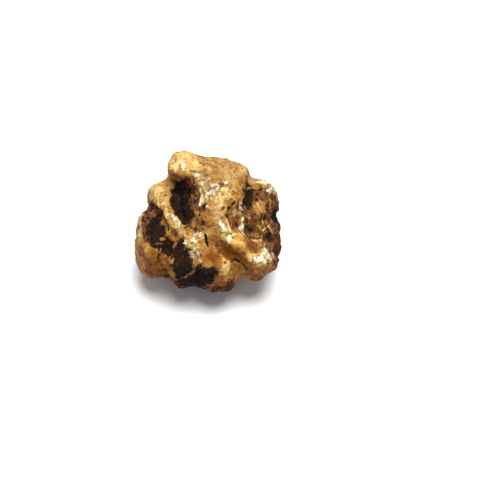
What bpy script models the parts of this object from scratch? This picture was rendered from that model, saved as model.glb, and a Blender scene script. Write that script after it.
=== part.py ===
"""White truffle: one whole, knobbly fruiting body that rests on a small flat spot.

The truffle grew as one piece, so it is one solid: the smooth union of rounded lobes,
cut flat where it rests. Sizes are in millimetres until the mesh is written in metres.

Two frames share the truffle's middle. The standing frame has X to the right, Y to the
back and Z up. The face frame belongs to the truffle's best side: across is X, and the
side's up and out directions are tipped back so that out points up at FACE_TILT.
"""

import math
from typing import NamedTuple

import bmesh
import bpy
import numpy as np

FACE_TILT = 50.0  # degrees that the best side looks up from level
REST_DEPTH = 25.0  # from the middle down to the flat spot
SEARCH_RADIUS = 44.0  # farther from the middle than any lobe reaches
SEARCH_STEPS = 88
BISECTIONS = 12
SPHERE_SUBDIVISIONS = 6
KEPT_SHARE = 0.36  # share of the sphere's triangles that the solid keeps
GROUND_SIZE = 200.0
MM = 0.001


class Lobe(NamedTuple):
    """A rounded swelling of the truffle, in its frame."""

    name: str
    middle: tuple  # face: across, up, out. Standing: right, back, up. From the truffle's middle.
    half: tuple  # half-sizes along the same three directions, before the turn
    turn: float = 0.0  # degrees anticlockwise about the frame's third direction
    blend: float = 2.0  # width over which it runs into the lobes before it


FACE_LOBES = [
    Lobe("core", (0, -1, -3), (26, 25, 23)),
    Lobe("middle", (-3, -8, 6), (13, 14, 14), 0, 6),
    Lobe("crown_back", (0, 17, 2), (17, 12, 14), -8, 6),
    Lobe("crown_left", (-8.5, 22, 9.5), (8, 9, 11), 0, 4),
    Lobe("crown_top", (2.5, 20, 10), (11, 9, 11.5), -6, 5),
    Lobe("crown_front", (6.5, 10, 13), (12, 13, 11.5), -8, 4),
    Lobe("crown_right", (11.5, 17.5, 9.5), (8.5, 9.5, 11), 0, 4),
    Lobe("nose", (4, 1.5, 16), (7, 9, 8), 0, 5),
    Lobe("shoulder", (-17.5, 9.5, 6), (8.3, 10, 11), 0, 2),
    Lobe("shoulder_tail", (-14.5, 2, 12), (5.5, 9, 8), 25, 4),
    Lobe("cheek", (-21, -2.6, 2), (9.9, 10, 13), 0, 2),
    Lobe("cheek_low", (-20.4, -12, 2), (11.8, 12.6, 15), 0, 5),
    Lobe("chin_left", (-10.5, -16, 8), (8.5, 12, 12), 0, 2),
    Lobe("chin", (4, -18, 8), (12, 12.4, 14), 0, 2),
    Lobe("finger", (13, -8, 15), (13, 7, 9), -38, 3),
    Lobe("finger_end", (21.2, -16, 8), (9.6, 8.9, 12), 0, 4),
    Lobe("ear_root", (18.5, 4, 9), (7.5, 12.5, 9), 0, 4),
    Lobe("ear", (23, 8.2, 4), (8.2, 11.4, 12.5), 0, 3),
    Lobe("ear_middle", (24.4, -3.5, 3), (8.2, 9, 12.5), 0, 1.5),
    Lobe("ear_low", (25.2, -11, 1), (6.9, 8.4, 12), 0, 2),
]
STANDING_LOBES = [
    Lobe("back_dome", (4, 15, 2), (16, 13, 14), 0, 5),
    Lobe("back_high_left", (-9, 16, 9), (9, 10, 11), 15, 4),
    Lobe("back_high_right", (10, 17, 5), (9.5, 10, 11), -20, 4),
    Lobe("back_left", (-14, 12, -7), (12, 14, 12), 25, 4),
    Lobe("back_low_left", (-11, 20, -13), (9, 9, 7.5), 0, 5),
    Lobe("back_right", (16, 14, -8), (13, 13, 12), -15, 4),
    Lobe("back_low", (3, 22, -12), (10, 9, 9), 0, 5),
    Lobe("low_left", (-18, -2, -12), (12, 14, 10.5), 0, 4),
    Lobe("low_front", (0, -15, -13), (14, 10, 10), 0, 4),
    Lobe("low_right", (15, -4, -13), (12, 13, 10), 0, 4),
    Lobe("foot", (1, 3, -16), (15, 15, 10.8), 0, 5),
]


def face_axes():
    """The face frame's across, up and out directions, as columns, in the standing frame."""
    tilt = math.radians(FACE_TILT)
    across = (1.0, 0.0, 0.0)
    up = (0.0, math.sin(tilt), math.cos(tilt))
    out = (0.0, -math.cos(tilt), math.sin(tilt))
    return np.array([across, up, out]).T


def lobe_distance(points, lobe, axes):
    """About how far each point is from the lobe's ellipsoid: less than 0 inside it."""
    turn = math.radians(lobe.turn)
    offset = points @ axes - np.array(lobe.middle, float)
    right = offset[:, 0] * math.cos(turn) + offset[:, 1] * math.sin(turn)
    ahead = offset[:, 1] * math.cos(turn) - offset[:, 0] * math.sin(turn)
    local = np.stack([right, ahead, offset[:, 2]], axis=1)
    half = np.array(lobe.half, float)
    reach = np.linalg.norm(local / half, axis=1)
    slope = np.linalg.norm(local / half**2, axis=1) + 1e-9
    return reach * (reach - 1.0) / slope


def smooth_union(first, second, width):
    """The smaller of two distances, rounded off where they are within width of each other."""
    overlap = np.maximum(width - np.abs(first - second), 0.0) / width
    return np.minimum(first, second) - overlap**2 * width / 4.0


def truffle_distance(points):
    """About how far each point is from the joined lobes: less than 0 inside them."""
    joined = None
    for lobes, axes in ((FACE_LOBES, face_axes()), (STANDING_LOBES, np.eye(3))):
        for lobe in lobes:
            distance = lobe_distance(points, lobe, axes)
            joined = distance if joined is None else smooth_union(joined, distance, lobe.blend)
    return joined


def skin_reach(directions):
    """How far the skin is from the middle along each unit direction.

    Each ray is walked inwards until it first enters a lobe, and that step is then halved
    again and again.
    """
    step = SEARCH_RADIUS / SEARCH_STEPS
    inner = np.zeros(len(directions))
    for number in range(SEARCH_STEPS - 1, 0, -1):
        open_rays = np.flatnonzero(inner == 0.0)
        entered = truffle_distance(directions[open_rays] * number * step) < 0.0
        inner[open_rays[entered]] = number * step
    outer = inner + step
    for _ in range(BISECTIONS):
        halfway = (inner + outer) / 2.0
        inside = truffle_distance(directions * halfway[:, None]) < 0.0
        inner = np.where(inside, halfway, inner)
        outer = np.where(inside, outer, halfway)
    return inner


def clear_scene():
    for old in list(bpy.data.objects):
        bpy.data.objects.remove(old)


def object_from(shape, name):
    """A linked object that holds a bmesh, which is freed."""
    mesh = bpy.data.meshes.new(name)
    shape.to_mesh(mesh)
    shape.free()
    made = bpy.data.objects.new(name, mesh)
    bpy.context.scene.collection.objects.link(made)
    return made


def skin_material():
    """Matt ochre skin."""
    material = bpy.data.materials.new("truffle_skin")
    material.use_nodes = True
    shader = material.node_tree.nodes["Principled BSDF"]
    shader.inputs["Base Color"].default_value = (0.52, 0.33, 0.14, 1.0)
    shader.inputs["Roughness"].default_value = 0.7
    shader.inputs["Metallic"].default_value = 0.0
    return material


def truffle_body():
    """A sphere of triangles drawn out to the skin, with the origin below the middle of its box."""
    shape = bmesh.new()
    bmesh.ops.create_icosphere(shape, subdivisions=SPHERE_SUBDIVISIONS, radius=1.0)
    body = object_from(shape, "truffle")
    corners = np.empty(len(body.data.vertices) * 3)
    body.data.vertices.foreach_get("co", corners)
    directions = corners.reshape(-1, 3)
    directions /= np.linalg.norm(directions, axis=1)[:, None]
    skin = directions * skin_reach(directions)[:, None]
    box_middle = (skin.min(axis=0) + skin.max(axis=0)) / 2.0
    skin -= (box_middle[0], box_middle[1], -REST_DEPTH)
    body.data.vertices.foreach_set("co", (skin * MM).ravel())
    body.data.update()
    return body


def ground_cutter():
    """A block whose top is the plane of the flat spot."""
    shape = bmesh.new()
    bmesh.ops.create_cube(shape, size=GROUND_SIZE * MM)
    cutter = object_from(shape, "ground_cutter")
    cutter.location.z = -GROUND_SIZE * MM / 2.0
    cutter.hide_render = True
    cutter.display_type = "WIRE"
    return cutter


def main():
    clear_scene()
    body = truffle_body()
    fewer = body.modifiers.new("fewer_triangles", "DECIMATE")
    fewer.ratio = KEPT_SHARE
    flat_spot = body.modifiers.new("flat_spot", "BOOLEAN")
    flat_spot.operation = "DIFFERENCE"
    flat_spot.object = ground_cutter()
    body.data.materials.append(skin_material())
    body.data.shade_smooth()


main()
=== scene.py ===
"""White truffle: its finished skin around the fixed frame, and a plain studio stage.

The skin is worked out in millimetres and written to the mesh in metres. Two frames share
the truffle's middle. The standing frame has X to the right, Y to the back and Z up. The
face frame belongs to the best side: across is X, and up and out are tipped back so that
out points up at FACE_TILT.
"""

import itertools
import math
from typing import NamedTuple

import bpy
import numpy as np
from mathutils import Matrix, Vector


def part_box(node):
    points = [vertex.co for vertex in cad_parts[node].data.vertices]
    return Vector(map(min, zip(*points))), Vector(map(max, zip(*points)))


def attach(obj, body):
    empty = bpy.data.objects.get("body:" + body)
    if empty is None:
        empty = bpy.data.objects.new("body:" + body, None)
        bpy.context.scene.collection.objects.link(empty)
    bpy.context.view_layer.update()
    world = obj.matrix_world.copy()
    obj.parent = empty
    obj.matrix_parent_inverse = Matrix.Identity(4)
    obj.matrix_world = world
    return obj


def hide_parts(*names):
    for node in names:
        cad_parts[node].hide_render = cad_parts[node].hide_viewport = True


bl_info = {
    "name": "White Truffle",
    "version": (1, 0, 0),
    "blender": (4, 5, 0),
    "location": "3D Viewport > Sidebar > Truffle",
    "description": "Makes a white truffle with soil in its folds, and a studio stage for it",
    "category": "Add Mesh",
}

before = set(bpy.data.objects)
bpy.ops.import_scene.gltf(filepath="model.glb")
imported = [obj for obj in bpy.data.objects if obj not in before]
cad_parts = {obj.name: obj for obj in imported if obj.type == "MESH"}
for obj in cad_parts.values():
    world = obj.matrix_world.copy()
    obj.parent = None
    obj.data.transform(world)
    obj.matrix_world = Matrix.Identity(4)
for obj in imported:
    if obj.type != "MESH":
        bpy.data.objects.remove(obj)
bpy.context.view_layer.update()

MM = 0.001
FACE_TILT = 50.0  # degrees that the best side looks up from level
REST_DEPTH = 25.0  # from the middle down to the flat spot
GRID = 128  # cells along each side of the six patches of the sphere
START_REACH = 46.0  # rays start farther out than any lobe
RAY_STEPS = 60
RAY_SHARE = 0.85  # of the distance to the lobes that a ray moves in at a step
NEAR_ENOUGH = 0.004
GRADIENT_STEP = 0.05
FOLD_FILLING = 7.0  # extra width of every blend, to fill in the valleys
BEST_SIDE_FADE = (-9.0, -3.0)  # how far out, in the face frame, the placed marks fade in
MARK_WANDER = 1.2  # how far noise moves the rims of the placed patches
LINE_WANDER = 0.7  # how far noise moves the cracks and threads
SPOT_ROUNDING = 0.5  # at the edge of the flat spot
NO_MARK = -2.0  # the level of a mark far outside all its patches
KEY_DIRECTION = (0.12, 0.0, 0.95)  # towards the main light
NEAREST_SEEN = 0.01  # metres from the camera

# About how far apart the skin's painted patterns repeat, in metres.
BLUSH_SIZE = 0.011
GATHERING_SIZE = 0.009
CREAM_SIZE = 0.007
CLOUD_SIZE = 0.0066
STAIN_SIZE = 0.006
DAMP_SIZE = 0.005
VEIN_SIZE = 0.0048
SOIL_EDGE_SIZE = 0.004
FIBRE_SIZE = 0.0034
STREAK_SIZE = 0.003
SOIL_GRAIN_SIZE = 0.0028
DOT_SIZE = 0.0028
SKIN_GRAIN_SIZE = 0.0027
CHALK_SIZE = 0.0026
FRAY_SIZE = 0.0025
SPOT_SIZE = 0.0024
DIMPLE_SIZE = 0.0018
FLECK_SIZE = 0.0017
CRUMB_SIZE = 0.0009
FINE_GRAIN_SIZE = 0.0007


class Lobe(NamedTuple):
    """A rounded swelling of the truffle, in its frame."""

    name: str
    middle: tuple  # face: across, up, out. Standing: right, back, up. From the truffle's middle.
    half: tuple  # half-sizes along the same three directions, before the turn
    turn: float = 0.0  # degrees anticlockwise about the frame's third direction
    blend: float = 2.0  # width over which it runs into the lobes before it


FACE_LOBES = [
    Lobe("core", (0, -1, -3), (26, 25, 23)),
    Lobe("middle", (-3, -8, 6), (13, 14, 14), 0, 6),
    Lobe("crown_back", (0, 17, 2), (17, 12, 14), -8, 6),
    Lobe("crown_left", (-8.5, 22, 9.5), (8, 9, 11), 0, 4),
    Lobe("crown_top", (2.5, 20, 10), (11, 9, 11.5), -6, 5),
    Lobe("crown_front", (6.5, 10, 13), (12, 13, 11.5), -8, 4),
    Lobe("crown_right", (11.5, 17.5, 9.5), (8.5, 9.5, 11), 0, 4),
    Lobe("nose", (4, 1.5, 16), (7, 9, 8), 0, 5),
    Lobe("shoulder", (-17.5, 9.5, 6), (8.3, 10, 11), 0, 2),
    Lobe("shoulder_tail", (-14.5, 2, 12), (5.5, 9, 8), 25, 4),
    Lobe("cheek", (-21, -2.6, 2), (9.9, 10, 13), 0, 2),
    Lobe("cheek_low", (-20.4, -12, 2), (11.8, 12.6, 15), 0, 5),
    Lobe("chin_left", (-10.5, -16, 8), (8.5, 12, 12), 0, 2),
    Lobe("chin", (4, -18, 8), (12, 12.4, 14), 0, 2),
    Lobe("finger", (13, -8, 15), (13, 7, 9), -38, 3),
    Lobe("finger_end", (21.2, -16, 8), (9.6, 8.9, 12), 0, 4),
    Lobe("ear_root", (18.5, 4, 9), (7.5, 12.5, 9), 0, 4),
    Lobe("ear", (23, 8.2, 4), (8.2, 11.4, 12.5), 0, 3),
    Lobe("ear_middle", (24.4, -3.5, 3), (8.2, 9, 12.5), 0, 1.5),
    Lobe("ear_low", (25.2, -11, 1), (6.9, 8.4, 12), 0, 2),
]
STANDING_LOBES = [
    Lobe("back_dome", (4, 15, 2), (16, 13, 14), 0, 5),
    Lobe("back_high_left", (-9, 16, 9), (9, 10, 11), 15, 4),
    Lobe("back_high_right", (10, 17, 5), (9.5, 10, 11), -20, 4),
    Lobe("back_left", (-14, 12, -7), (12, 14, 12), 25, 4),
    Lobe("back_low_left", (-11, 20, -13), (9, 9, 7.5), 0, 5),
    Lobe("back_right", (16, 14, -8), (13, 13, 12), -15, 4),
    Lobe("back_low", (3, 22, -12), (10, 9, 9), 0, 5),
    Lobe("low_left", (-18, -2, -12), (12, 14, 10.5), 0, 4),
    Lobe("low_front", (0, -15, -13), (14, 10, 10), 0, 4),
    Lobe("low_right", (15, -4, -13), (12, 13, 10), 0, 4),
    Lobe("foot", (1, 3, -16), (15, 15, 10.8), 0, 5),
]


class Patch(NamedTuple):
    """A mark on the best side: its middle and half-sizes across and up."""

    name: str
    middle: tuple
    half: tuple
    turn: float = 0.0  # degrees anticlockwise
    strength: float = 1.0


SOIL_PATCHES = [
    Patch("valley", (-7.4, 8.0), (5.4, 11.4), 20, 1.5),
    Patch("cheek", (-23.6, -1.6), (4.9, 9.4), 6, 1.4),
    Patch("cheek_inner", (-16.8, -10.6), (2.2, 3.6), 10, 0.8),
    Patch("cheek_low", (-22.4, -18.0), (2.0, 5.0), -8, 0.5),
    Patch("chin_left", (-10.4, -17.4), (4.2, 8.4), 4, 1.4),
    Patch("chin_left_foot", (-7.5, -27.0), (9.0, 3.0), -8, 1.0),
    Patch("chin", (0.2, -23.0), (4.8, 4.6), 0, 1.2),
    Patch("chin_foot", (7.0, -30.0), (9.0, 2.4), 12, 0.6),
    Patch("crown_spot", (6.2, 16.2), (1.4, 1.3), 0, 1.6),
    Patch("ear", (24.8, 2.0), (8.4, 13.6), 0, 1.6),
    Patch("ear_inner", (19.8, 6.0), (2.8, 9.5), -8, 1.0),
    Patch("ear_low", (28.6, -9.0), (4.6, 8.0), 12, 1.0),
    Patch("finger_foot", (25.0, -25.0), (5.0, 2.0), 25, 0.5),
]
# Nearly black places: damp soil, and in part painted shade, as in the valley under the crown's
# overhang and low on the chin.
DARK_PATCHES = [
    Patch("valley", (-10.2, 7.0), (2.6, 8.0), 12, 1.0),
    Patch("valley_top", (-12.4, 14.0), (4.0, 2.2), -25, 0.9),
    Patch("cheek", (-20.8, -4.6), (3.6, 4.6), 0, 1.1),
    Patch("cheek_inner", (-17.0, -11.0), (2.2, 5.0), 0, 0.8),
    Patch("chin_left", (-9.8, -18.0), (5.0, 9.6), 0, 2.4),
    Patch("chin", (-0.6, -23.8), (5.8, 5.0), 0, 2.4),
    Patch("ear_edge", (18.8, 11.0), (1.3, 3.4), 0, 0.7),
    Patch("ear_right", (30.6, 2.6), (1.6, 2.6), 0, 0.6),
]
SCUFF_PATCHES = [
    Patch("crown_left", (-9.6, 23.6), (1.5, 2.8), 10, 0.9),
    Patch("crown_star", (-3.8, 20.4), (2.4, 1.5), -30, 1.5),
    Patch("crown_groove", (-1.2, 16.8), (1.8, 2.6), 0, 1.2),
    Patch("crown_middle", (3.0, 13.6), (3.6, 3.4), -20, 0.8),
    Patch("crown_spot", (8.4, 17.8), (1.8, 1.5), 0, 0.7),
    Patch("crown_cap", (12.8, 3.8), (1.8, 1.5), 20, 0.9),
    Patch("groove_left", (-2.2, 10.0), (0.8, 5.0), 4, 0.7),
    Patch("groove_right", (0.4, 10.6), (0.8, 4.4), 0, 0.7),
    Patch("valley_rim", (-12.2, 0.4), (1.7, 4.4), 24, 0.9),
    Patch("valley_rim_low", (-9.4, -4.6), (0.8, 4.4), 32, 0.7),
    Patch("web_top", (-3.8, -6.0), (5.0, 1.7), 28, 0.45),
    Patch("web", (-3.8, -10.4), (4.2, 4.4), 0, 0.3),
    Patch("web_tail", (-3.4, -15.6), (1.8, 4.2), -6, 0.5),
    Patch("finger_left", (7.4, -1.8), (1.8, 3.2), 14, 1.3),
    Patch("finger_middle", (9.6, -6.6), (1.3, 3.2), 14, 1.1),
    Patch("ear_edge", (16.3, -1.2), (1.1, 4.6), 6, 1.2),
    Patch("ear_edge_high", (16.4, 6.4), (0.8, 3.4), -4, 0.8),
    Patch("finger_right", (22.6, -15.6), (5.8, 2.2), 18, 1.4),
    Patch("finger_prong", (25.2, -12.4), (1.4, 3.4), -20, 1.4),
    Patch("finger_end", (28.2, -15.2), (1.1, 3.6), -10, 1.1),
    Patch("ear_rim", (25.4, 17.9), (3.8, 1.1), -20, 1.6),
    Patch("ear_comma", (28.2, 14.0), (2.1, 2.6), 24, 1.9),
    Patch("chin_streak", (11.4, -21.2), (0.9, 4.0), -24, 0.7),
]
STAIN_PATCHES = [
    Patch("crown_top", (4.0, 27.0), (12.0, 2.4), -8, 0.9),
    Patch("crown_middle", (1.0, 23.0), (8.0, 3.0), -10, 0.6),
    Patch("crown_side", (15.0, 16.0), (2.6, 5.0), 12, 0.7),
    Patch("crown_low", (12.0, 8.0), (4.4, 4.4), 0, 0.6),
    Patch("nose", (3.0, 4.0), (5.0, 6.4), 0, 0.3),
    Patch("valley_foot", (-13.4, -5.0), (2.6, 4.2), 24, 1.5),
    Patch("valley_right", (-2.0, 2.6), (2.6, 4.0), 30, 0.8),
    Patch("crease_hollow", (12.8, 0.2), (2.6, 3.6), 0, 1.7),
    Patch("chin", (3.4, -14.6), (7.0, 6.0), -20, 1.6),
    Patch("chin_low", (7.0, -24.4), (3.0, 4.4), 0, 0.9),
    Patch("knob", (19.6, -9.4), (4.8, 4.6), 0, 1.7),
    # Painted shade: brown along the crease between the finger and the chin.
    Patch("finger_crease_shade", (8.4, -13.4), (9.0, 1.8), -37, 2.0),
    Patch("ear", (25.0, 1.0), (7.5, 13.0), 0, 0.8),
    Patch("valley_end", (-3.0, 0.6), (3.6, 4.0), 0, 1.0),
    Patch("crown_brown", (9.4, 9.0), (1.8, 2.6), 0, 1.3),
    # Painted shade: browns the low cheek.
    Patch("cheek_low", (-22.0, -17.0), (6.4, 9.0), -10, 2.0),
    Patch("cheek_right", (-15.6, -9.6), (3.0, 6.0), 10, 1.3),
    Patch("cheek_left", (-27.4, -14.0), (3.4, 8.0), 0, 1.1),
    Patch("finger_foot", (21.0, -24.6), (6.0, 2.0), 10, 0.9),
    Patch("ear_top", (22.0, 16.0), (3.0, 2.2), 0, 0.8),
]
CREAM_PATCHES = [
    Patch("shoulder", (-18.4, 9.6), (7.6, 10.4), 20, 1.3),
    Patch("shoulder_tail", (-14.6, 1.4), (3.4, 7.4), 24, 1.0),
    Patch("crown_left", (-12.0, 21.4), (4.0, 6.0), 0, 1.0),
    Patch("crown", (3.0, 21.0), (17.0, 11.0), -8, 1.5),
    Patch("crown_front", (6.0, 12.0), (10.0, 9.0), 0, 1.2),
    Patch("cheek_rim", (-30.0, -2.0), (2.4, 10.0), 0, 1.2),
    Patch("chin_left_strip", (-16.9, -18.6), (2.5, 6.4), 8, 1.0),
    Patch("finger", (20.4, -20.4), (8.4, 5.0), 12, 1.2),
    Patch("finger_left", (9.0, -5.0), (4.6, 6.0), 30, 0.7),
    Patch("chin_right", (10.0, -21.6), (3.6, 6.4), -10, 0.7),
]


class Crack(NamedTuple):
    """A slit in the best side along a line of points across and up."""

    name: str
    points: tuple
    width: float
    depth: float


CRACKS = [
    Crack("web_slit", ((-0.2, -6.2), (0.5, -8.2), (0.9, -10.2)), 0.45, 1.9),
    Crack("crown_finger", ((6.6, 0.9), (7.8, 1.7)), 0.35, 0.7),
    Crack("crown_finger_middle", ((8.9, 2.7), (10.4, 3.8)), 0.6, 0.9),
    Crack("crown_finger_high", ((11.0, 4.9), (12.0, 6.6), (13.1, 8.3)), 0.7, 1.2),
    Crack("crown_finger_fork", ((10.7, 5.4), (10.6, 7.2)), 0.45, 0.9),
    Crack("finger_chin", ((3.0, -9.4), (6.0, -11.0)), 0.45, 0.6),
    Crack("finger_chin_low", ((12.8, -16.6), (14.8, -18.8), (17.0, -20.6)), 0.38, 0.9),
    Crack("cheek_chin", ((-20.0, -11.7), (-19.5, -17.0), (-17.7, -22.7), (-14.5, -26.0)), 0.5, 1.2),
    Crack("shoulder_cheek", ((-27.0, 7.6), (-23.6, 7.2), (-21.0, 5.0)), 0.5, 0.8),
    Crack("shoulder_foot", ((-17.6, 1.0), (-16.2, -1.6), (-17.0, -4.0)), 0.45, 1.0),
    Crack("valley", ((-11.0, 12.0), (-10.2, 8.0), (-8.6, 2.0)), 0.7, 1.3),
    Crack("valley_pit", ((-1.5, 6.9), (-1.2, 6.1)), 0.9, 1.5),
    Crack("crown_slit", ((-12.9, 26.3), (-11.2, 27.2)), 0.4, 1.0),
    Crack("crown_left_edge", ((-15.6, 18.0), (-15.0, 14.6), (-11.4, 13.0)), 0.5, 0.7),
    Crack("crown_groove", ((-0.8, 14.0), (-1.1, 10.0), (-0.8, 7.4)), 0.35, 0.6),
    Crack("crown_spot", ((6.0, 16.1), (6.4, 15.9)), 0.8, 0.5),
    Crack("ear_crease", ((19.6, 17.0), (18.0, 12.0), (17.4, 8.0)), 0.55, 1.1),
    Crack("ear_crease_low", ((17.2, 0.6), (17.6, -3.6), (19.6, -6.0), (23.6, -7.4)), 0.5, 0.6),
    Crack("hollow", ((10.4, 1.8), (11.4, -0.4), (12.1, -2.9)), 0.5, 0.9),
    Crack("hollow_right", ((13.9, -0.6), (14.6, -1.5)), 0.6, 0.8),
    Crack("hollow_low", ((12.9, -2.0), (13.4, -3.3)), 0.5, 0.8),
    Crack("finger_dot", ((6.3, -4.5), (6.6, -5.2)), 0.5, 0.6),
    Crack("finger_dot_right", ((15.2, -5.2), (15.6, -5.9)), 0.5, 0.6),
]


class Thread(NamedTuple):
    """A pale raised thread on the best side along a line of points across and up."""

    name: str
    points: tuple
    width: float


THREADS = [
    Thread("ear_long", ((21.6, 8.4), (23.0, 5.6), (24.2, 4.0), (25.4, -0.9), (26.8, -2.6)), 0.32),
    Thread("ear_cross", ((24.6, -3.6), (26.2, -2.7), (27.8, -1.6)), 0.3),
    Thread("ear_foot", ((23.2, -3.4), (24.0, -5.0), (23.8, -8.0)), 0.35),
    Thread("ear_spot", ((28.2, 4.4), (28.4, 3.2)), 0.6),
    Thread("ear_crease", ((17.6, 2.2), (19.2, 1.0)), 0.3),
    Thread("ear_inner", ((18.0, -4.6), (20.4, -6.6), (22.6, -8.0)), 0.28),
    Thread("groove_left", ((-2.4, 13.6), (-2.2, 9.8), (-1.7, 6.4)), 0.36),
    Thread("groove_right", ((0.0, 13.0), (0.2, 9.4), (-0.3, 6.6)), 0.34),
    Thread("web_high", ((-6.6, -10.6), (-2.0, -7.2), (0.8, -5.6)), 0.36),
    Thread("valley_rim", ((-12.0, 2.8), (-10.8, -1.6), (-8.8, -4.6)), 0.36),
    Thread("cheek_arc", ((-29.8, -13.0), (-28.4, -17.0), (-25.6, -20.0)), 0.6),
    Thread("hollow_left", ((9.4, 1.2), (10.2, -1.0), (11.0, -3.2)), 0.6),
]


# --- Shape, in millimetres ---------------------------------------------------------------


def face_axes():
    """The face frame's across, up and out directions, as columns, in the standing frame."""
    tilt = math.radians(FACE_TILT)
    across = (1.0, 0.0, 0.0)
    up = (0.0, math.sin(tilt), math.cos(tilt))
    out = (0.0, -math.cos(tilt), math.sin(tilt))
    return np.array([across, up, out]).T


def smooth_step(low, high, values):
    """0 below low, 1 above high, and 3t^2 - 2t^3 of the share t of the way between them."""
    share = np.clip((values - low) / (high - low), 0.0, 1.0)
    return share * share * (3.0 - 2.0 * share)


def turned(offset, degrees):
    """The first two parts of each offset along axes turned anticlockwise about the third."""
    angle = math.radians(degrees)
    right = offset[:, 0] * math.cos(angle) + offset[:, 1] * math.sin(angle)
    ahead = offset[:, 1] * math.cos(angle) - offset[:, 0] * math.sin(angle)
    return right, ahead


def gradient_noise(points, size, seed):
    """Smooth noise of about -1 to 1 that changes over about size.

    Space is cut into cubes of that size, and each corner has a random slope. The value is
    the eight corners' slopes times the offsets from them, mixed by 6t^5 - 15t^4 + 10t^3.
    """
    draws = np.random.default_rng(seed)
    order = draws.permutation(256)
    slopes = draws.normal(size=(256, 3))
    slopes /= np.linalg.norm(slopes, axis=1)[:, None]
    scaled = points / size
    cell = np.floor(scaled).astype(np.int64)
    place = scaled - cell
    fade = place**3 * (place * (place * 6.0 - 15.0) + 10.0)
    total = np.zeros(len(points))
    for corner in itertools.product((0, 1), repeat=3):
        key = (cell + corner) & 255
        key = order[(order[(order[key[:, 0]] + key[:, 1]) & 255] + key[:, 2]) & 255]
        weight = np.where(corner, fade, 1.0 - fade).prod(axis=1)
        total += weight * (slopes[key] * (place - corner)).sum(axis=1)
    return total * 1.6


def layered_noise(points, size, seed, layers=3):
    """Gradient noise plus finer and weaker copies: each has half the size and half the height."""
    total = np.zeros(len(points))
    for layer in range(layers):
        total += gradient_noise(points, size / 2**layer, seed + layer) / 2**layer
    return total


def lobe_distance(points, lobe, axes):
    """About how far each point is from the lobe's ellipsoid: less than 0 inside it.

    With r the length of the point in half-sizes and s that of its slope, it is r (r - 1) / s.
    """
    offset = points @ axes - np.array(lobe.middle, float)
    local = np.stack([*turned(offset, lobe.turn), offset[:, 2]], axis=1)
    half = np.array(lobe.half, float)
    reach = np.linalg.norm(local / half, axis=1)
    slope = np.linalg.norm(local / half**2, axis=1) + 1e-9
    return reach * (reach - 1.0) / slope


def smooth_union(first, second, width):
    """The smaller of two distances, rounded off where they are within width of each other."""
    overlap = np.maximum(width - np.abs(first - second), 0.0) / width
    return np.minimum(first, second) - overlap**2 * width / 4.0


def truffle_distance(points, filled=0.0):
    """About how far each point is from the joined lobes, with filled added to every blend."""
    first, *others = FACE_LOBES
    joined = lobe_distance(points, first, face_axes())
    for lobes, axes in ((others, face_axes()), (STANDING_LOBES, np.eye(3))):
        for lobe in lobes:
            distance = lobe_distance(points, lobe, axes)
            joined = smooth_union(joined, distance, lobe.blend + filled)
    return joined


def bent(points, bend, size=11.0, seed=40):
    """The points moved by slow noise, which makes what is worked out at them wander."""
    moves = [gradient_noise(points, size, seed + axis) for axis in range(3)]
    return points + bend * np.stack(moves, axis=1)


def ridges(points, size, seed):
    """Winding crests about size apart: 1 along a crest, falling to -1 between crests.

    It is 1 - 4.4 |n|, at least -1, with n the noise at points that slower noise has moved.
    """
    noise = gradient_noise(bent(points, 0.4 * size, 2.2 * size, seed + 1), size, seed)
    return 1.0 - np.minimum(4.4 * np.abs(noise), 2.0)


def sphere_grid():
    """(unit directions, faces) of a ball: a cube's six faces, each a grid, blown up.

    On each face the two parameters a and b run from -45 to 45 degrees, and the direction
    is (tan a, tan b, 1), turned to that face and made one long. The seams are welded.
    """
    angle = np.linspace(-math.pi / 4.0, math.pi / 4.0, GRID + 1)
    a, b = np.meshgrid(np.tan(angle), np.tan(angle), indexing="ij")
    flat = np.stack([a.ravel(), b.ravel(), np.ones(a.size)], axis=1)
    corner = np.arange(a.size).reshape(a.shape)
    cells = np.stack([corner[:-1, :-1], corner[1:, :-1], corner[1:, 1:], corner[:-1, 1:]], axis=-1)
    cells = cells.reshape(-1, 4)
    directions = []
    faces = []
    for axis, sign in itertools.product(range(3), (1.0, -1.0)):
        turned = np.roll(flat, axis, axis=1) * sign
        faces.append((cells if sign > 0 else cells[:, ::-1]) + len(directions) * a.size)
        directions.append(turned)
    directions = np.concatenate(directions)
    directions /= np.linalg.norm(directions, axis=1)[:, None]
    _, first, index = np.unique(
        np.round(directions, 6) + 0.0, axis=0, return_index=True, return_inverse=True
    )
    return directions[first], index.reshape(-1)[np.concatenate(faces)]


def lobed_skin(directions, bend):
    """Where each ray from the middle leaves the bent lobes.

    A point starts far out on each ray and again and again moves in by its distance from
    the lobes, so it stops at the outermost skin on its ray.
    """
    reach = np.full(len(directions), START_REACH)
    moving = np.arange(len(directions))
    for _ in range(RAY_STEPS):
        gap = truffle_distance(bent(directions[moving] * reach[moving, None], bend))
        reach[moving] -= RAY_SHARE * gap
        moving = moving[np.abs(gap) > NEAR_ENOUGH]
    return directions * reach[:, None]


def skin_normals(points, bend):
    """The direction in which the distance from the bent lobes grows fastest, one long."""
    here = truffle_distance(bent(points, bend))
    slope = np.empty_like(points)
    for axis in range(3):
        ahead = points.copy()
        ahead[:, axis] += GRADIENT_STEP
        slope[:, axis] = truffle_distance(bent(ahead, bend)) - here
    return slope / np.linalg.norm(slope, axis=1)[:, None]


# --- Marks on the skin -------------------------------------------------------------------


def patch_level(spots, patches):
    """The highest of the patches' levels: strength in a patch's middle, 0 on its rim."""
    level = np.full(len(spots), NO_MARK)
    for patch in patches:
        right, above = turned(spots[:, :2] - patch.middle, patch.turn)
        radius = np.hypot(right / patch.half[0], above / patch.half[1])
        level = np.maximum(level, patch.strength * (1.0 - radius))
    return level


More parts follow.
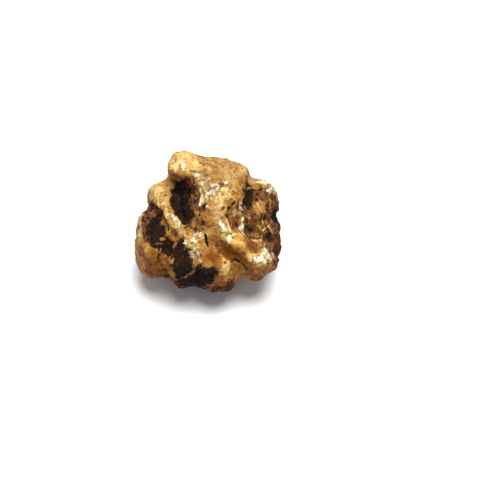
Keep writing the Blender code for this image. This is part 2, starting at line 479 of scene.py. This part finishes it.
def line_distance(spots, points):
    """How far each spot is, across and up, from the nearest place on a line of points."""
    nearest = np.full(len(spots), np.inf)
    for start, end in zip(points[:-1], points[1:]):
        along = np.subtract(end, start)
        offset = spots[:, :2] - start
        share = np.clip(offset @ along / (along @ along), 0.0, 1.0)
        nearest = np.minimum(nearest, np.linalg.norm(offset - share[:, None] * along, axis=1))
    return nearest


class Marks(NamedTuple):
    """What lies on each point of the skin. A level is above 0 where its mark shows."""

    soil: np.ndarray
    dark: np.ndarray  # level of the nearly black places: damp soil, and in part painted shade
    scuff: np.ndarray
    stain: np.ndarray
    cream: np.ndarray
    fold: np.ndarray  # 0 on open skin, 1 deep in a fold
    crack: np.ndarray  # depth in millimetres
    wrinkle: np.ndarray  # -1 between wrinkles, 1 on their crests
    streak: np.ndarray  # -1 to 1 across the ear's slanting streaks
    thread: np.ndarray  # 0 off the pale threads, 1 on them
    # painted shade on the skin that faces down
    painted_shade: np.ndarray  # 0 where the skin faces the sky, 1 where it faces down


def strayed(spots, skin, size, seeds, reach):
    """The spots moved across and up by noise, by about reach."""
    moves = [gradient_noise(skin, size, seed) for seed in seeds]
    return spots[:, :2] + reach * np.stack(moves, axis=1)


def bell(spots, points, width):
    """1 on the line of points, falling to 0 beside it as e^-(distance / width)^2."""
    return np.exp(-((line_distance(spots, points) / width) ** 2))


def crack_depth(spots, skin):
    """How deep the cracks are cut: a bell curve across each line, which noise breaks up."""
    placed = strayed(spots, skin, 2.4, (62, 63), LINE_WANDER)
    uneven = 0.75 + 0.8 * gradient_noise(skin, 2.0, 64)
    narrowing = np.clip(uneven, 0.4, 1.2)
    shallowing = np.clip(uneven + 0.2, 0.0, 1.0)
    depth = np.zeros(len(skin))
    for crack in CRACKS:
        across = bell(placed, crack.points, crack.width * narrowing)
        depth = np.maximum(depth, crack.depth * across * shallowing)
    return depth


def thread_level(spots, skin):
    """1 on the threads, falling to 0 beside them as a bell curve that noise thins out."""
    placed = strayed(spots, skin, 3.2, (66, 67), LINE_WANDER)
    uneven = 0.8 + 0.7 * gradient_noise(skin, 2.4, 68)
    level = np.zeros(len(skin))
    for thread in THREADS:
        level = np.maximum(level, bell(placed, thread.points, thread.width))
    return level * np.clip(uneven, 0.0, 1.0)


def find_marks(skin, normals, bend):
    """The marks: placed patches on the best side, and slow noise round the sides and the back.

    A fold is where the truffle lies well inside a copy of it whose valleys are filled in.
    """
    spots = skin @ face_axes()
    best_side = smooth_step(*BEST_SIDE_FADE, spots[:, 2])
    wander = np.stack([layered_noise(skin, 4.5, 60), layered_noise(skin, 4.5, 65)], axis=1)
    placed = spots[:, :2] + MARK_WANDER * wander
    ragged = 0.25 * layered_noise(skin, 3.0, 70)
    fold = smooth_step(0.4, 2.4, -truffle_distance(bent(skin, bend), FOLD_FILLING) - 0.9)
    low = smooth_step(-14.0, -22.0, skin[:, 2])

    def mixed(patches, elsewhere):
        """The patches' level on the best side and the other one elsewhere, with ragged rims."""
        return best_side * patch_level(placed, patches) + (1.0 - best_side) * elsewhere + ragged

    # Folds and the lowest skin get more soil and more black: partly soil gathered there, partly
    # painted shade.
    soil = mixed(SOIL_PATCHES, 1.5 * layered_noise(skin, 14.0, 80) + 0.7 * fold - 1.0)
    soil += 0.2 * fold + 0.2 * low
    dark = mixed(DARK_PATCHES, 1.2 * layered_noise(skin, 9.0, 85) - 0.5) + 0.4 * fold
    scuff = mixed(SCUFF_PATCHES, 1.5 * layered_noise(skin, 9.0, 90) - 0.6)
    stain = mixed(STAIN_PATCHES, 1.2 * layered_noise(skin, 14.0, 100) - 0.1)
    cream = mixed(CREAM_PATCHES, 1.2 * layered_noise(skin, 15.0, 110))
    wrinkle = 0.6 * ridges(skin, 3.0, 120) + 0.4 * ridges(skin, 1.5, 130)
    slanting = np.stack([spots[:, 0] + 0.45 * spots[:, 1], 0.22 * spots[:, 1], spots[:, 2]], axis=1)
    streak = layered_noise(slanting, 2.4, 140)
    crack = best_side * crack_depth(spots, skin)
    thread = best_side * thread_level(spots, skin) * smooth_step(0.3, 0.1, crack)
    # Painted shade: the skin darkens as it turns to face down.
    painted_shade = smooth_step(0.75, 0.0, normals[:, 2])
    return Marks(soil, dark, scuff, stain, cream, fold, crack, wrinkle, streak, thread, painted_shade)


def skin_relief(skin, marks, shape):
    """How far the skin stands out from the lobes at each point.

    It is lumps, wrinkles and grain, less the folds, cracks and pits, plus the crust of soil
    and the frayed film of the scuffs. A lump is |n| of slow noise n, so lumps are round and
    meet in creases.
    """
    soil = smooth_step(-0.1, 0.3, marks.soil)
    scuff = smooth_step(-0.05, 0.25, marks.scuff) * (1.0 - soil)
    cream = smooth_step(-0.2, 0.5, marks.cream)
    lumps = np.abs(gradient_noise(skin, 10.0, 10)) + 0.5 * np.abs(gradient_noise(skin, 5.0, 12))
    rough = np.maximum(np.maximum(0.4 + 0.6 * cream, 0.9 * soil), 0.7 * scuff)
    crumbs = layered_noise(skin, 2.4, 30, 4)
    grain = gradient_noise(skin, 1.3, 20) + 0.6 * gradient_noise(skin, 0.8, 21)
    pits = smooth_step(0.4, 0.75, gradient_noise(skin, 2.2, 24))
    relief = shape.lump_height / MM * (lumps - 0.5) * 2.0
    relief += shape.wrinkle_height / MM * rough * marks.wrinkle
    relief += shape.grain_height / MM * (1.0 + soil) * grain
    relief -= shape.pit_depth / MM * pits * (1.0 - scuff)
    relief -= shape.fold_depth / MM * marks.fold + marks.crack
    relief += shape.crust_height / MM * soil * (0.6 + crumbs)
    return relief + shape.film_height / MM * (scuff + marks.thread)


def settled(skin):
    """The skin stood on z = 0, with what would lie lower pressed flat.

    A height h above the flat spot becomes (h + sqrt(h^2 + e^2)) / 2, with e a small
    rounding at the spot's edge.
    """
    height = skin[:, 2] + REST_DEPTH
    pressed = (height + np.sqrt(height**2 + SPOT_ROUNDING**2)) / 2.0
    skin[:, 2] = pressed - pressed.min()
    return skin


def mesh_from_grid(name, points, faces, attributes):
    """A smooth-shaded mesh in metres of points in millimetres and faces of four corners."""
    mesh = bpy.data.meshes.new(name)
    mesh.vertices.add(len(points))
    mesh.vertices.foreach_set("co", (points * MM).ravel())
    mesh.loops.add(faces.size)
    mesh.loops.foreach_set("vertex_index", faces.ravel())
    mesh.polygons.add(len(faces))
    mesh.polygons.foreach_set("loop_start", np.arange(0, faces.size, 4))
    mesh.update(calc_edges=True)
    mesh.validate()
    for attribute_name, values in attributes.items():
        attribute = mesh.attributes.new(attribute_name, "FLOAT", "POINT")
        attribute.data.foreach_set("value", values.astype(np.float32))
    mesh.shade_smooth()
    return mesh


def truffle_mesh(shape):
    """The truffle's skin, with its marks as attributes, centred on the frame's truffle."""
    directions, faces = sphere_grid()
    bend = shape.fold_wander / MM
    skin = lobed_skin(directions, bend)
    normals = skin_normals(skin, bend)
    marks = find_marks(skin, normals, bend)
    skin = settled(skin + normals * skin_relief(skin, marks, shape)[:, None])
    low, high = (np.array(corner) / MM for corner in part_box("truffle"))
    shift = (low + high - skin.min(axis=0) - skin.max(axis=0)) / 2.0
    skin[:, :2] += shift[:2]
    return mesh_from_grid("truffle_skin", skin, faces, marks._asdict())


# --- Materials ---------------------------------------------------------------------------


class Wire:
    """A socket whose arithmetic adds Math nodes to its tree."""

    def __init__(self, tree, socket=None):
        self.tree = tree
        self.socket = socket

    def node(self, kind, settings, inputs, output=0):
        """Adds a node: first its settings, then the values or links of its sockets."""
        made = self.tree.nodes.new(kind)
        for name, value in settings.items():
            setattr(made, name, value)
        for name, value in inputs.items():
            if isinstance(value, Wire):
                self.tree.links.new(value.socket, made.inputs[name])
            else:
                made.inputs[name].default_value = value
        return Wire(self.tree, made.outputs[output])

    def maths(self, operation, *values):
        return self.node("ShaderNodeMath", {"operation": operation}, dict(enumerate(values)))

    def __add__(self, other):
        return self.maths("ADD", self, other)

    def __sub__(self, other):
        return self.maths("SUBTRACT", self, other)

    def __rsub__(self, other):
        return self.maths("SUBTRACT", other, self)

    def __mul__(self, other):
        return self.maths("MULTIPLY", self, other)

    def __abs__(self):
        return self.maths("ABSOLUTE", self)

    __radd__ = __add__
    __rmul__ = __mul__

    def stepped(self, low, high):
        """0 below low, 1 above high and smooth between them."""
        inputs = {"Value": self, "From Min": low, "From Max": high}
        return self.node("ShaderNodeMapRange", {"interpolation_type": "SMOOTHSTEP"}, inputs)


class Pattern:
    """A material's tree, and the patterns that its layers are made of."""

    def __init__(self, material):
        material.use_nodes = True
        self.tree = material.node_tree
        self.start = Wire(self.tree)
        self.place = self.start.node("ShaderNodeTexCoord", {}, {}, "Object")

    def mark(self, name):
        """One of the skin's attributes."""
        return self.start.node("ShaderNodeAttribute", {"attribute_name": name}, {}, "Fac")

    def noise(self, size, detail=4.0, roughness=0.55, distortion=0.0, stretch=(1.0, 1.0, 1.0)):
        """Layered noise less its middle, about -0.5 to 0.5, that changes over size in metres."""
        place = self.place
        if stretch != (1.0, 1.0, 1.0):
            place = self.start.node("ShaderNodeMapping", {}, {"Vector": place, "Scale": stretch})
        inputs = {
            "Vector": place,
            "Scale": 1.0 / size,
            "Detail": detail,
            "Roughness": roughness,
            "Distortion": distortion,
        }
        return self.start.node("ShaderNodeTexNoise", {}, inputs, "Fac") - 0.5

    def crumbs(self, size):
        """How far each point is from the nearest crumb's middle, in crumb sizes."""
        inputs = {"Vector": self.place, "Scale": 1.0 / size}
        return self.start.node("ShaderNodeTexVoronoi", {}, inputs, "Distance")

    def mixed(self, share, first, second, blend="MIX"):
        """A colour between two, or second laid over first by another blend."""
        settings = {"data_type": "RGBA", "blend_type": blend}
        return self.start.node("ShaderNodeMix", settings, {0: share, 6: first, 7: second}, 2)

    def layered(self, colour, layers):
        """The colour under each (share, colour) of the layers in turn."""
        for share, over in layers:
            colour = self.mixed(share, colour, over if isinstance(over, Wire) else over[:])
        return colour


def skin_colour(pattern, colours, crest):
    """Golden skin under cream clouds and an orange blush, with brown grain, veins and dots."""
    cream = (pattern.mark("cream") + pattern.noise(CREAM_SIZE, 3.0) * 2.0).stepped(-0.3, 0.5)
    stain = pattern.mark("stain") + pattern.noise(STAIN_SIZE, 4.0, 0.6) * 2.4
    clouds = pattern.noise(CLOUD_SIZE, 4.0, 0.6, 0.5)
    grains = pattern.noise(SKIN_GRAIN_SIZE, 2.5, 0.65)
    blush = pattern.noise(BLUSH_SIZE, 3.0, 0.5).stepped(-0.12, 0.16)
    # Partly painted shade: tan in the hollows between the wrinkles' crests, broken up by grain.
    furrows = 1.0 - (crest * 0.35 + grains * 3.8).stepped(-0.4, 0.3)
    spots = pattern.noise(SPOT_SIZE, 2.0, 0.5).stepped(0.04, 0.12)
    blotches = (grains * 0.7 - clouds).stepped(0.02, 0.18)
    veins = 1.0 - abs(pattern.noise(VEIN_SIZE, 3.0, 0.6, 0.8)).stepped(0.0, 0.022)
    flecks = pattern.noise(FLECK_SIZE, 2.0, 0.55, 0.6, (0.5, 1.0, 1.0)).stepped(0.10, 0.17)
    gathered = pattern.noise(GATHERING_SIZE, 3.0).stepped(-0.1, 0.06)
    nearest = pattern.crumbs(DOT_SIZE) + grains * 0.8
    pale = (clouds + cream * 0.07).stepped(-0.12, 0.2)
    layers = (
        (cream, colours.cream),
        (pale * 0.9, colours.cream_pale),
        (blush * 0.3, colours.orange),
        (stain.stepped(-0.15, 0.65) * (0.85 - 0.35 * cream), colours.orange),
        (furrows * (0.35 + 0.25 * cream), colours.tan),
        (spots * (0.3 + 0.45 * cream), colours.cream_pale),
        (blotches * 0.7, colours.tan),
        (veins * (0.35 - 0.1 * blush), colours.tan),
        (flecks * (1.0 - blush * 0.5) * 0.75, colours.speck),
        ((1.0 - nearest.stepped(0.2, 0.45)) * gathered * 0.5, colours.tan),
        ((1.0 - nearest.stepped(0.12, 0.22)) * gathered * 0.92, colours.speck),
    )
    return pattern.layered(colours.ochre[:], layers)


def soil_colour(pattern, colours, crest):
    """Black where damp and as painted shade in hollows, purple-brown on lit crests, with paler
    crumbs, fibres and streaks.
    """
    grains = pattern.noise(SOIL_GRAIN_SIZE, 4.0, 0.68, 0.3)
    dark = (pattern.mark("dark") + pattern.noise(DAMP_SIZE, 4.0, 0.6) * 1.8).stepped(-0.35, 0.25)
    # Painted light: the soil is paler on the wrinkles' crests, as if lit, and on random grains; the
    # hollows between stay black as painted shade.
    lit = (crest * 0.5 + grains * 5.0).stepped(-0.1, 0.55)
    crumbs = (pattern.noise(SPOT_SIZE, 3.0, 0.6) + grains * 0.5).stepped(0.07, 0.18)
    fibres = 1.0 - abs(pattern.noise(FIBRE_SIZE, 3.0, 0.6, 1.2)).stepped(0.0, 0.03)
    streak = pattern.mark("streak") + pattern.noise(STREAK_SIZE, 3.0, 0.6) * 1.6
    streak = streak + pattern.mark("stain") * 0.8
    layers = (
        (lit * (1.0 - 0.94 * dark), colours.soil),
        (crumbs * (0.85 - 0.85 * dark), colours.soil_pale),
        (fibres * (0.42 - 0.35 * dark), colours.soil_streak),
        (streak.stepped(0.15, 0.8) * (0.85 - 0.85 * dark), colours.soil_streak),
    )
    return pattern.layered(colours.dark_soil_and_shade[:], layers)


def scuff_colour(pattern, colours, crest, level):
    """Chalky white where the film is thick, over grey-brown hollows of partly painted shade; whiter
    on crests as painted light.
    """
    chalk = crest * 0.3 + pattern.noise(CHALK_SIZE, 4.0, 0.66, 0.3) * 3.2 + level * 0.75
    return pattern.mixed(chalk.stepped(0.1, 0.85), colours.scuff_grey[:], colours.scuff[:])


def skin_material(colours):
    """Waxy skin under rough soil and frayed chalky film, all browner with painted shade where it
    faces down.
    """
    material = bpy.data.materials.new("truffle_skin")
    pattern = Pattern(material)
    crest = pattern.mark("wrinkle") * 0.5 + 0.5
    frayed = pattern.noise(FRAY_SIZE, 3.5, 0.62)
    soil_level = pattern.mark("soil") + pattern.noise(SOIL_EDGE_SIZE, 4.0, 0.66, 0.3) * 2.2
    soil = soil_level.stepped(-0.04, 0.14)
    halo = soil_level.stepped(-0.75, 0.1)
    scuff_level = pattern.mark("scuff") + frayed * 2.8
    scuff = scuff_level.stepped(0.1, 0.3)
    thread = (pattern.mark("thread") + frayed * 1.4).stepped(0.35, 0.65)
    # Painted shade: darker where the skin faces down and where it is stained most, broken up by
    # noise.
    painted_shade = pattern.mark("painted_shade") + pattern.mark("stain").stepped(0.2, 1.4) * 0.65
    painted_shade = painted_shade + pattern.noise(STAIN_SIZE, 3.0, 0.6) * 0.8
    crack = (pattern.mark("crack") + frayed * 0.5).stepped(0.25, 0.7)
    clean = skin_colour(pattern, colours, crest)
    layers = (
        (halo * 0.6, colours.soil_pale),
        # Deep in the folds the skin turns pale soil brown: partly soil gathered there, partly
        # painted shade.
        (pattern.mark("fold").stepped(0.55, 1.0) * 0.5, colours.soil_pale),
        (soil, soil_colour(pattern, colours, crest)),
        (scuff * 0.95, scuff_colour(pattern, colours, crest, scuff_level)),
        (thread * 0.75, colours.cream_pale),
    )
    colour = pattern.layered(clean, layers)
    # Painted shade is multiplied onto the skin where it faces down and where it is stained most.
    colour = pattern.mixed(painted_shade.stepped(0.0, 0.8), colour, colours.painted_shade[:], "MULTIPLY")
    # Painted shade in the slits, with damp soil: the cracks are painted nearly black, deeper ones
    # darker.
    colour = pattern.mixed(crack * 0.94, colour, colours.dark_soil_and_shade[:])
    grain = pattern.noise(FINE_GRAIN_SIZE, 4.0, 0.6)
    roughness = 0.42 + 0.28 * scuff + 0.34 * soil + 0.3 * grain
    height = grain * 0.6 + pattern.noise(DIMPLE_SIZE, 5.0, 0.6) * 1.9 + frayed * scuff
    height = height + (pattern.crumbs(CRUMB_SIZE) * -0.6 + frayed) * soil
    bump_inputs = {"Height": height, "Strength": 1.0, "Distance": 0.001}
    bump = pattern.start.node("ShaderNodeBump", {}, bump_inputs)
    principled = material.node_tree.nodes["Principled BSDF"]
    principled.inputs["Specular IOR Level"].default_value = 0.14
    for name, wire in (("Base Color", colour), ("Roughness", roughness), ("Normal", bump)):
        material.node_tree.links.new(wire.socket, principled.inputs[name])
    return material


def floor_material(colour):
    """Matt pale card with a faint cloudiness."""
    material = bpy.data.materials.new("pale_card")
    pattern = Pattern(material)
    shade = [0.97 * channel for channel in colour[:3]] + [1.0]
    card = pattern.mixed(pattern.noise(0.05).stepped(-0.3, 0.3), colour[:], shade)
    principled = material.node_tree.nodes["Principled BSDF"]
    principled.inputs["Roughness"].default_value = 0.8
    principled.inputs["Specular IOR Level"].default_value = 0.2
    material.node_tree.links.new(card.socket, principled.inputs["Base Color"])
    return material


# --- Settings, operators and panel -------------------------------------------------------


def length(name, description, default):
    return bpy.props.FloatProperty(
        name=name, description=description, default=default, min=0.0, precision=5, unit="LENGTH"
    )


def colour(name, description, default):
    return bpy.props.FloatVectorProperty(
        name=name,
        description=description,
        default=(*default, 1.0),
        size=4,
        subtype="COLOR",
        min=0.0,
        max=1.0,
    )


class TruffleShape(bpy.types.PropertyGroup):
    """Heights of the skin's finer forms."""

    fold_wander: length("Fold wander", "How far the folds stray from the lobes' own lines", 0.0014)
    fold_depth: length("Fold depth", "How much deeper folds are than the lobes leave them", 0.0011)
    lump_height: length("Lump height", "Height of the lumps between the folds", 0.0008)
    wrinkle_height: length("Wrinkle height", "Height of the skin's wrinkles", 0.00042)
    grain_height: length("Grain height", "Height of the skin's fine grain", 0.00006)
    pit_depth: length("Pit depth", "Depth of the skin's pits", 0.0003)
    crust_height: length("Crust height", "Thickness of the crust of soil", 0.00045)
    film_height: length("Film height", "Thickness of the pale scuffs", 0.00008)


class TruffleColours(bpy.types.PropertyGroup):
    """Colours of the skin, the soil on it and its scuffs."""

    cream: colour("Cream", "Pale skin", (0.98, 0.61, 0.145))
    cream_pale: colour("Pale cream", "Palest spots on the skin", (1.0, 0.76, 0.31))
    ochre: colour("Ochre", "Most of the skin", (0.90, 0.48, 0.062))
    orange: colour("Orange", "Stained skin", (0.45, 0.15, 0.008))
    # Also the partly painted shade between the wrinkles' crests.
    tan: colour("Tan", "Brown between the wrinkles and in blotches", (0.33, 0.112, 0.012))
    speck: colour("Speck", "Brown specks", (0.055, 0.016, 0.004))
    scuff: colour("Scuff", "Chalky film where the skin is rubbed", (1.0, 0.92, 0.64))
    # Also the partly painted shade in the film's hollows.
    scuff_grey: colour("Scuff shade", "Thin places in the chalky film", (0.30, 0.20, 0.075))
    # Laid on the soil's wrinkle crests and grains as painted light over the dark soil.
    soil: colour("Soil", "Soil caked in the folds", (0.20, 0.078, 0.036))
    # Nearly black: damp soil, and painted shade in the cracks and between the soil's lit crests.
    dark_soil_and_shade: colour("Dark soil", "Damp soil in the deepest places", (0.009, 0.003, 0.001))
    # Also the partly painted shade deep in the folds.
    soil_pale: colour("Pale soil", "Dry soil and stained skin round it", (0.31, 0.125, 0.028))
    soil_streak: colour("Soil streak", "Orange streaks of skin among the soil", (0.60, 0.28, 0.065))
    # Painted shade: multiplied onto the skin where it faces down and where it is stained most.
    painted_shade: colour("Painted shade", "What the lower sides are tinted with", (0.42, 0.28, 0.15))


class StageSettings(bpy.types.PropertyGroup):
    """The floor, the lights and the camera."""

    floor_size: length("Floor size", "Side of the square floor", 6.0)
    floor_colour: colour("Floor colour", "Colour of the pale card", (0.9, 0.9, 0.9))
    lens: bpy.props.FloatProperty(
        name="Lens", description="Focal length in millimetres", default=85.0, unit="CAMERA"
    )
    view_width: length("View width", "Width of the view where the truffle stands", 0.2115)
    view_right: length("View right", "How far right of the truffle the view is aimed", 0.0139)
    view_down: length("View down", "How far below the truffle the view is aimed", 0.0077)
    key_strength: bpy.props.FloatProperty(
        name="Key strength", description="Strength of the main light", default=4.1
    )
    key_spread: bpy.props.FloatProperty(
        name="Key spread",
        description="How wide the main light is in the sky",
        default=math.radians(34.0),
        subtype="ANGLE",
    )
    sky: bpy.props.FloatProperty(
        name="Sky", description="Strength of the light from overhead", default=0.36
    )
    horizon: bpy.props.FloatProperty(
        name="Horizon", description="Strength of the light from low down", default=1.05
    )


class TRUFFLE_OT_add_truffle(bpy.types.Operator):
    """Make the truffle's skin with its soil, stains and scuffs"""

    bl_idname = "truffle.add_truffle"
    bl_label = "Add Truffle"

    def execute(self, context):
        scene = context.scene
        truffle = bpy.data.objects.new("truffle_skin", truffle_mesh(scene.truffle_shape))
        scene.collection.objects.link(truffle)
        truffle.data.materials.append(skin_material(scene.truffle_colours))
        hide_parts("truffle")
        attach(truffle, "root")
        return {"FINISHED"}


def add_floor(scene, stage):
    """A square sheet of pale card on z = 0."""
    reach = stage.floor_size / 2.0
    signs = ((-1.0, -1.0), (1.0, -1.0), (1.0, 1.0), (-1.0, 1.0))
    corners = [(reach * x, reach * y, 0.0) for x, y in signs]
    mesh = bpy.data.meshes.new("floor")
    mesh.from_pydata(corners, [], [(0, 1, 2, 3)])
    mesh.materials.append(floor_material(stage.floor_colour))
    floor = bpy.data.objects.new("floor", mesh)
    scene.collection.objects.link(floor)


def add_camera(scene, stage):
    """A camera that looks straight at the best side, aimed beside and below the truffle."""
    axes = face_axes()
    across, up, out = (Vector(axes[:, column]) for column in range(3))
    camera = bpy.data.objects.new("camera", bpy.data.cameras.new("camera"))
    camera.data.lens = stage.lens
    distance = stage.view_width * stage.lens / camera.data.sensor_width
    aim = Vector((0.0, 0.0, REST_DEPTH * MM)) + across * stage.view_right - up * stage.view_down
    camera.matrix_world = Matrix.Translation(aim + out * distance) @ Matrix(axes.tolist()).to_4x4()
    camera.data.clip_start = NEAREST_SEEN
    scene.collection.objects.link(camera)
    scene.camera = camera


def add_key_light(scene, stage):
    """One broad soft light that shines the same way everywhere."""
    lamp = bpy.data.objects.new("key_light", bpy.data.lights.new("key_light", "SUN"))
    lamp.data.energy = stage.key_strength
    lamp.data.angle = stage.key_spread
    lamp.rotation_euler = Vector(KEY_DIRECTION).to_track_quat("Z", "Y").to_euler()
    scene.collection.objects.link(lamp)


def add_sky(scene, stage):
    """White light from all round, brighter near the horizon than overhead."""
    world = bpy.data.worlds.new("studio")
    world.use_nodes = True
    start = Wire(world.node_tree)
    direction = start.node("ShaderNodeTexCoord", {}, {}, "Generated")
    height = start.node("ShaderNodeSeparateXYZ", {}, {"Vector": direction}, "Z")
    overhead = height.stepped(0.05, 0.45)
    strength = stage.horizon + overhead * (stage.sky - stage.horizon)
    background = world.node_tree.nodes["Background"]
    background.inputs["Color"].default_value = (1.0, 1.0, 1.0, 1.0)
    world.node_tree.links.new(strength.socket, background.inputs["Strength"])
    scene.world = world


class TRUFFLE_OT_add_stage(bpy.types.Operator):
    """Make the floor, the soft lights and the camera"""

    bl_idname = "truffle.add_stage"
    bl_label = "Add Stage"

    def execute(self, context):
        scene = context.scene
        stage = scene.truffle_stage
        add_floor(scene, stage)
        add_camera(scene, stage)
        add_key_light(scene, stage)
        add_sky(scene, stage)
        scene.view_settings.view_transform = "Standard"
        return {"FINISHED"}


class TRUFFLE_PT_panel(bpy.types.Panel):
    """Settings and buttons of the truffle and its stage"""

    bl_idname = "TRUFFLE_PT_panel"
    bl_label = "White Truffle"
    bl_space_type = "VIEW_3D"
    bl_region_type = "UI"
    bl_category = "Truffle"

    def draw(self, context):
        for settings, operator in SECTIONS:
            box = self.layout.box()
            for setting in settings:
                group = getattr(context.scene, setting)
                for name in group.__annotations__:
                    box.prop(group, name)
            box.operator(operator)


SECTIONS = (
    (("truffle_shape", "truffle_colours"), TRUFFLE_OT_add_truffle.bl_idname),
    (("truffle_stage",), TRUFFLE_OT_add_stage.bl_idname),
)
SETTINGS = {
    "truffle_shape": TruffleShape,
    "truffle_colours": TruffleColours,
    "truffle_stage": StageSettings,
}
CLASSES = (*SETTINGS.values(), TRUFFLE_OT_add_truffle, TRUFFLE_OT_add_stage, TRUFFLE_PT_panel)


def register():
    for cls in CLASSES:
        bpy.utils.register_class(cls)
    for name, group in SETTINGS.items():
        setattr(bpy.types.Scene, name, bpy.props.PointerProperty(type=group))


def unregister():
    for name in SETTINGS:
        delattr(bpy.types.Scene, name)
    for cls in reversed(CLASSES):
        bpy.utils.unregister_class(cls)


def main():
    register()
    bpy.ops.truffle.add_truffle()
    bpy.ops.truffle.add_stage()


if __name__ == "__main__":
    main()
